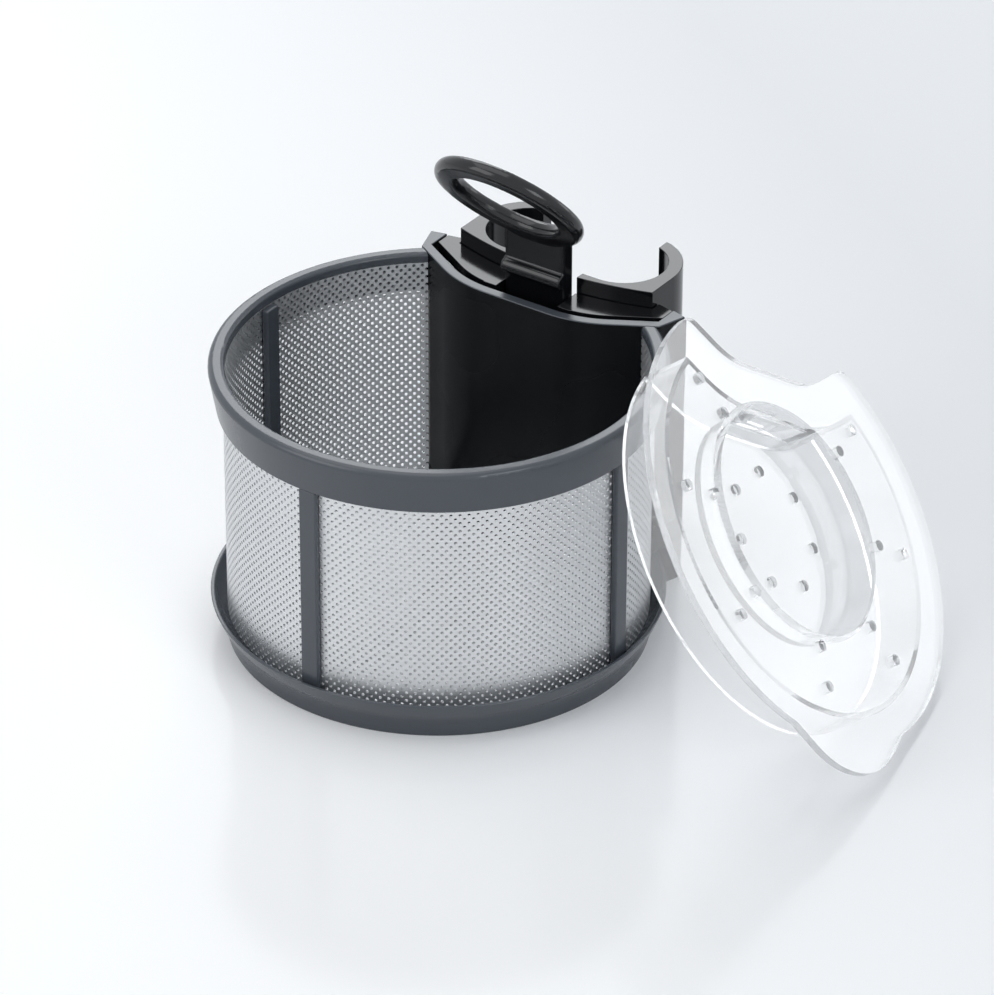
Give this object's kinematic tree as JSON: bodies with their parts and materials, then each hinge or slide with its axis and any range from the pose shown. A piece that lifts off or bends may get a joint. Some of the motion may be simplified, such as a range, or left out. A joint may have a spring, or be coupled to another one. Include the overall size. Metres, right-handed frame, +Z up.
{
  "type": "tea maker brewing basket",
  "caption": "Lift-out brewing basket of an automatic tea maker: perforated steel wall in a dark frame, column clip and ring handle behind, clear perforated lid leaning on it.",
  "frame": {"origin": "on the table plane, on the axis of the round basket", "axes": "+Z up, front of the basket towards -Y, column clip and handle at the back towards +Y, the taken-off lid on the +X side"},
  "size_m": [0.1542, 0.1127, 0.1005],
  "materials": {
    "dark_plastic": "satin moulded",
    "steel_mesh": "satin perforated sheet",
    "clear_plastic": "clear moulded",
    "magnet": "plated",
    "pin_steel": "ground",
    "spring_steel": "drawn wire"
  },
  "bodies": {
    "basket": {"rim_band": "dark_plastic", "base_ring": "dark_plastic", "side_mesh": "steel_mesh", "front_rib": "dark_plastic", "right_rib": "dark_plastic", "left_rib": "dark_plastic", "rear_wall": "dark_plastic", "bottom_mesh": "steel_mesh", "bottom_cross": "dark_plastic", "column_clip": "dark_plastic", "rear_core": "dark_plastic", "magnets": "magnet", "rear_foot": "dark_plastic", "handle_pin": "pin_steel", "handle_spring": "spring_steel"},
    "latch": {"handle": "dark_plastic"},
    "cover": {"lid": "clear_plastic"}
  },
  "joints": [
    {"name": "handle_swing", "type": "hinge", "parent": "basket", "child": "latch", "pos_m": [0, 0.0358, 0.0542], "axis": [-1, 0, 0], "range_deg": [0, 8], "stiffness_Nm_per_rad": 0.02, "springref_deg": -17.19},
    {"name": "lid_lift", "type": "slide", "parent": "basket", "child": "cover", "axis": [0, 0, 1], "range_m": [0, 0.12]}
  ]
}
